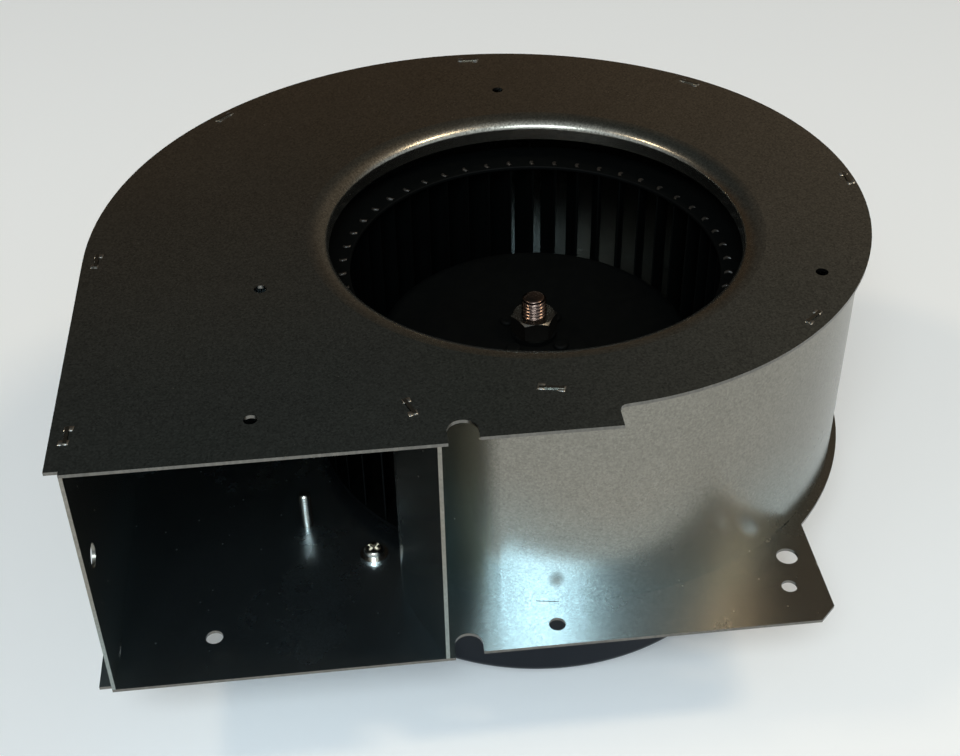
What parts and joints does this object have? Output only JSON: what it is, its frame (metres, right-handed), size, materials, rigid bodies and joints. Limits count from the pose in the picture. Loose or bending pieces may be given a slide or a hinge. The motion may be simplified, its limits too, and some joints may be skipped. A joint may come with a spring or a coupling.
{
  "type": "combustion fan",
  "caption": "Centrifugal combustion-air fan: sheet-metal scroll with bellmouth inlet and rectangular outlet, bladed drum wheel, and an electric motor in a round cup below.",
  "frame": {"origin": "centre of the motor cup's underside, on the shaft axis", "axes": "+Z along the shaft towards the inlet, +X along the outlet's front edge, +Y to the back; the outlet blows towards -Y"},
  "size_m": [0.2386, 0.217, 0.1209],
  "materials": {
    "inlet_sheet": "zinc-coated sheet, dark satin",
    "wall_sheet": "zinc-coated sheet, satin",
    "base_sheet": "zinc-coated sheet, satin",
    "black_cup": "black stove enamel",
    "zinc_hardware": "bright zinc plate",
    "rubber": "matte",
    "terminal_plastic": "matte",
    "terminal_brass": "bright",
    "lead_insulation": "smooth",
    "gasket_fibre": "matte fibre",
    "cast_aluminium": "as cast",
    "lamination_steel": "stacked laminations",
    "winding_copper": "enamelled copper wire",
    "bearing_steel": "ground",
    "shaft_steel": "ground",
    "wheel_black": "black, satin"
  },
  "bodies": {
    "housing": {"inlet_plate": "inlet_sheet", "scroll_wall": "wall_sheet", "motor_plate": "base_sheet", "motor_cover": "black_cup", "cover_screws": "zinc_hardware", "cover_nuts": "zinc_hardware", "earth_screw": "zinc_hardware", "earth_tab": "terminal_brass", "cable_grommet": "rubber", "terminal_block": "terminal_plastic", "terminal_screws": "terminal_brass", "motor_leads": "lead_insulation", "motor_gasket": "gasket_fibre", "upper_end_bell": "cast_aluminium", "lower_end_bell": "cast_aluminium", "motor_screws": "zinc_hardware", "motor_nuts": "zinc_hardware", "stator_core": "lamination_steel", "stator_windings": "winding_copper", "upper_bearing_outer_ring": "bearing_steel", "lower_bearing_outer_ring": "bearing_steel", "preload_washer": "bearing_steel"},
    "rotor": {"motor_shaft": "shaft_steel", "rotor_core": "lamination_steel", "rotor_cage": "cast_aluminium", "upper_bearing_inner_ring": "bearing_steel", "lower_bearing_inner_ring": "bearing_steel", "shaft_circlip": "bearing_steel", "hub_spacer": "shaft_steel", "impeller_hub": "shaft_steel", "impeller_back_plate": "wheel_black", "hub_rivets": "wheel_black", "impeller_blades": "wheel_black", "impeller_front_ring": "wheel_black", "lock_washer": "wheel_black", "impeller_nut": "zinc_hardware"},
    "upper_balls": {"upper_bearing_balls": "bearing_steel", "upper_bearing_cage": "bearing_steel"},
    "lower_balls": {"lower_bearing_balls": "bearing_steel", "lower_bearing_cage": "bearing_steel"}
  },
  "joints": [
    {"name": "impeller_spin", "type": "hinge", "parent": "housing", "child": "rotor", "pos_m": [0, 0, 0.0803], "axis": [0, 0, 1], "continuous": true},
    {"name": "upper_balls_orbit", "type": "hinge", "parent": "housing", "child": "upper_balls", "pos_m": [0, 0, 0.0635], "axis": [0, 0, 1], "continuous": true},
    {"name": "lower_balls_orbit", "type": "hinge", "parent": "housing", "child": "lower_balls", "pos_m": [0, 0, 0.0125], "axis": [0, 0, 1], "continuous": true}
  ],
  "couplings": [
    {"joint": "upper_balls_orbit", "follows": "impeller_spin", "ratio": 0.3733},
    {"joint": "lower_balls_orbit", "follows": "impeller_spin", "ratio": 0.3733}
  ]
}
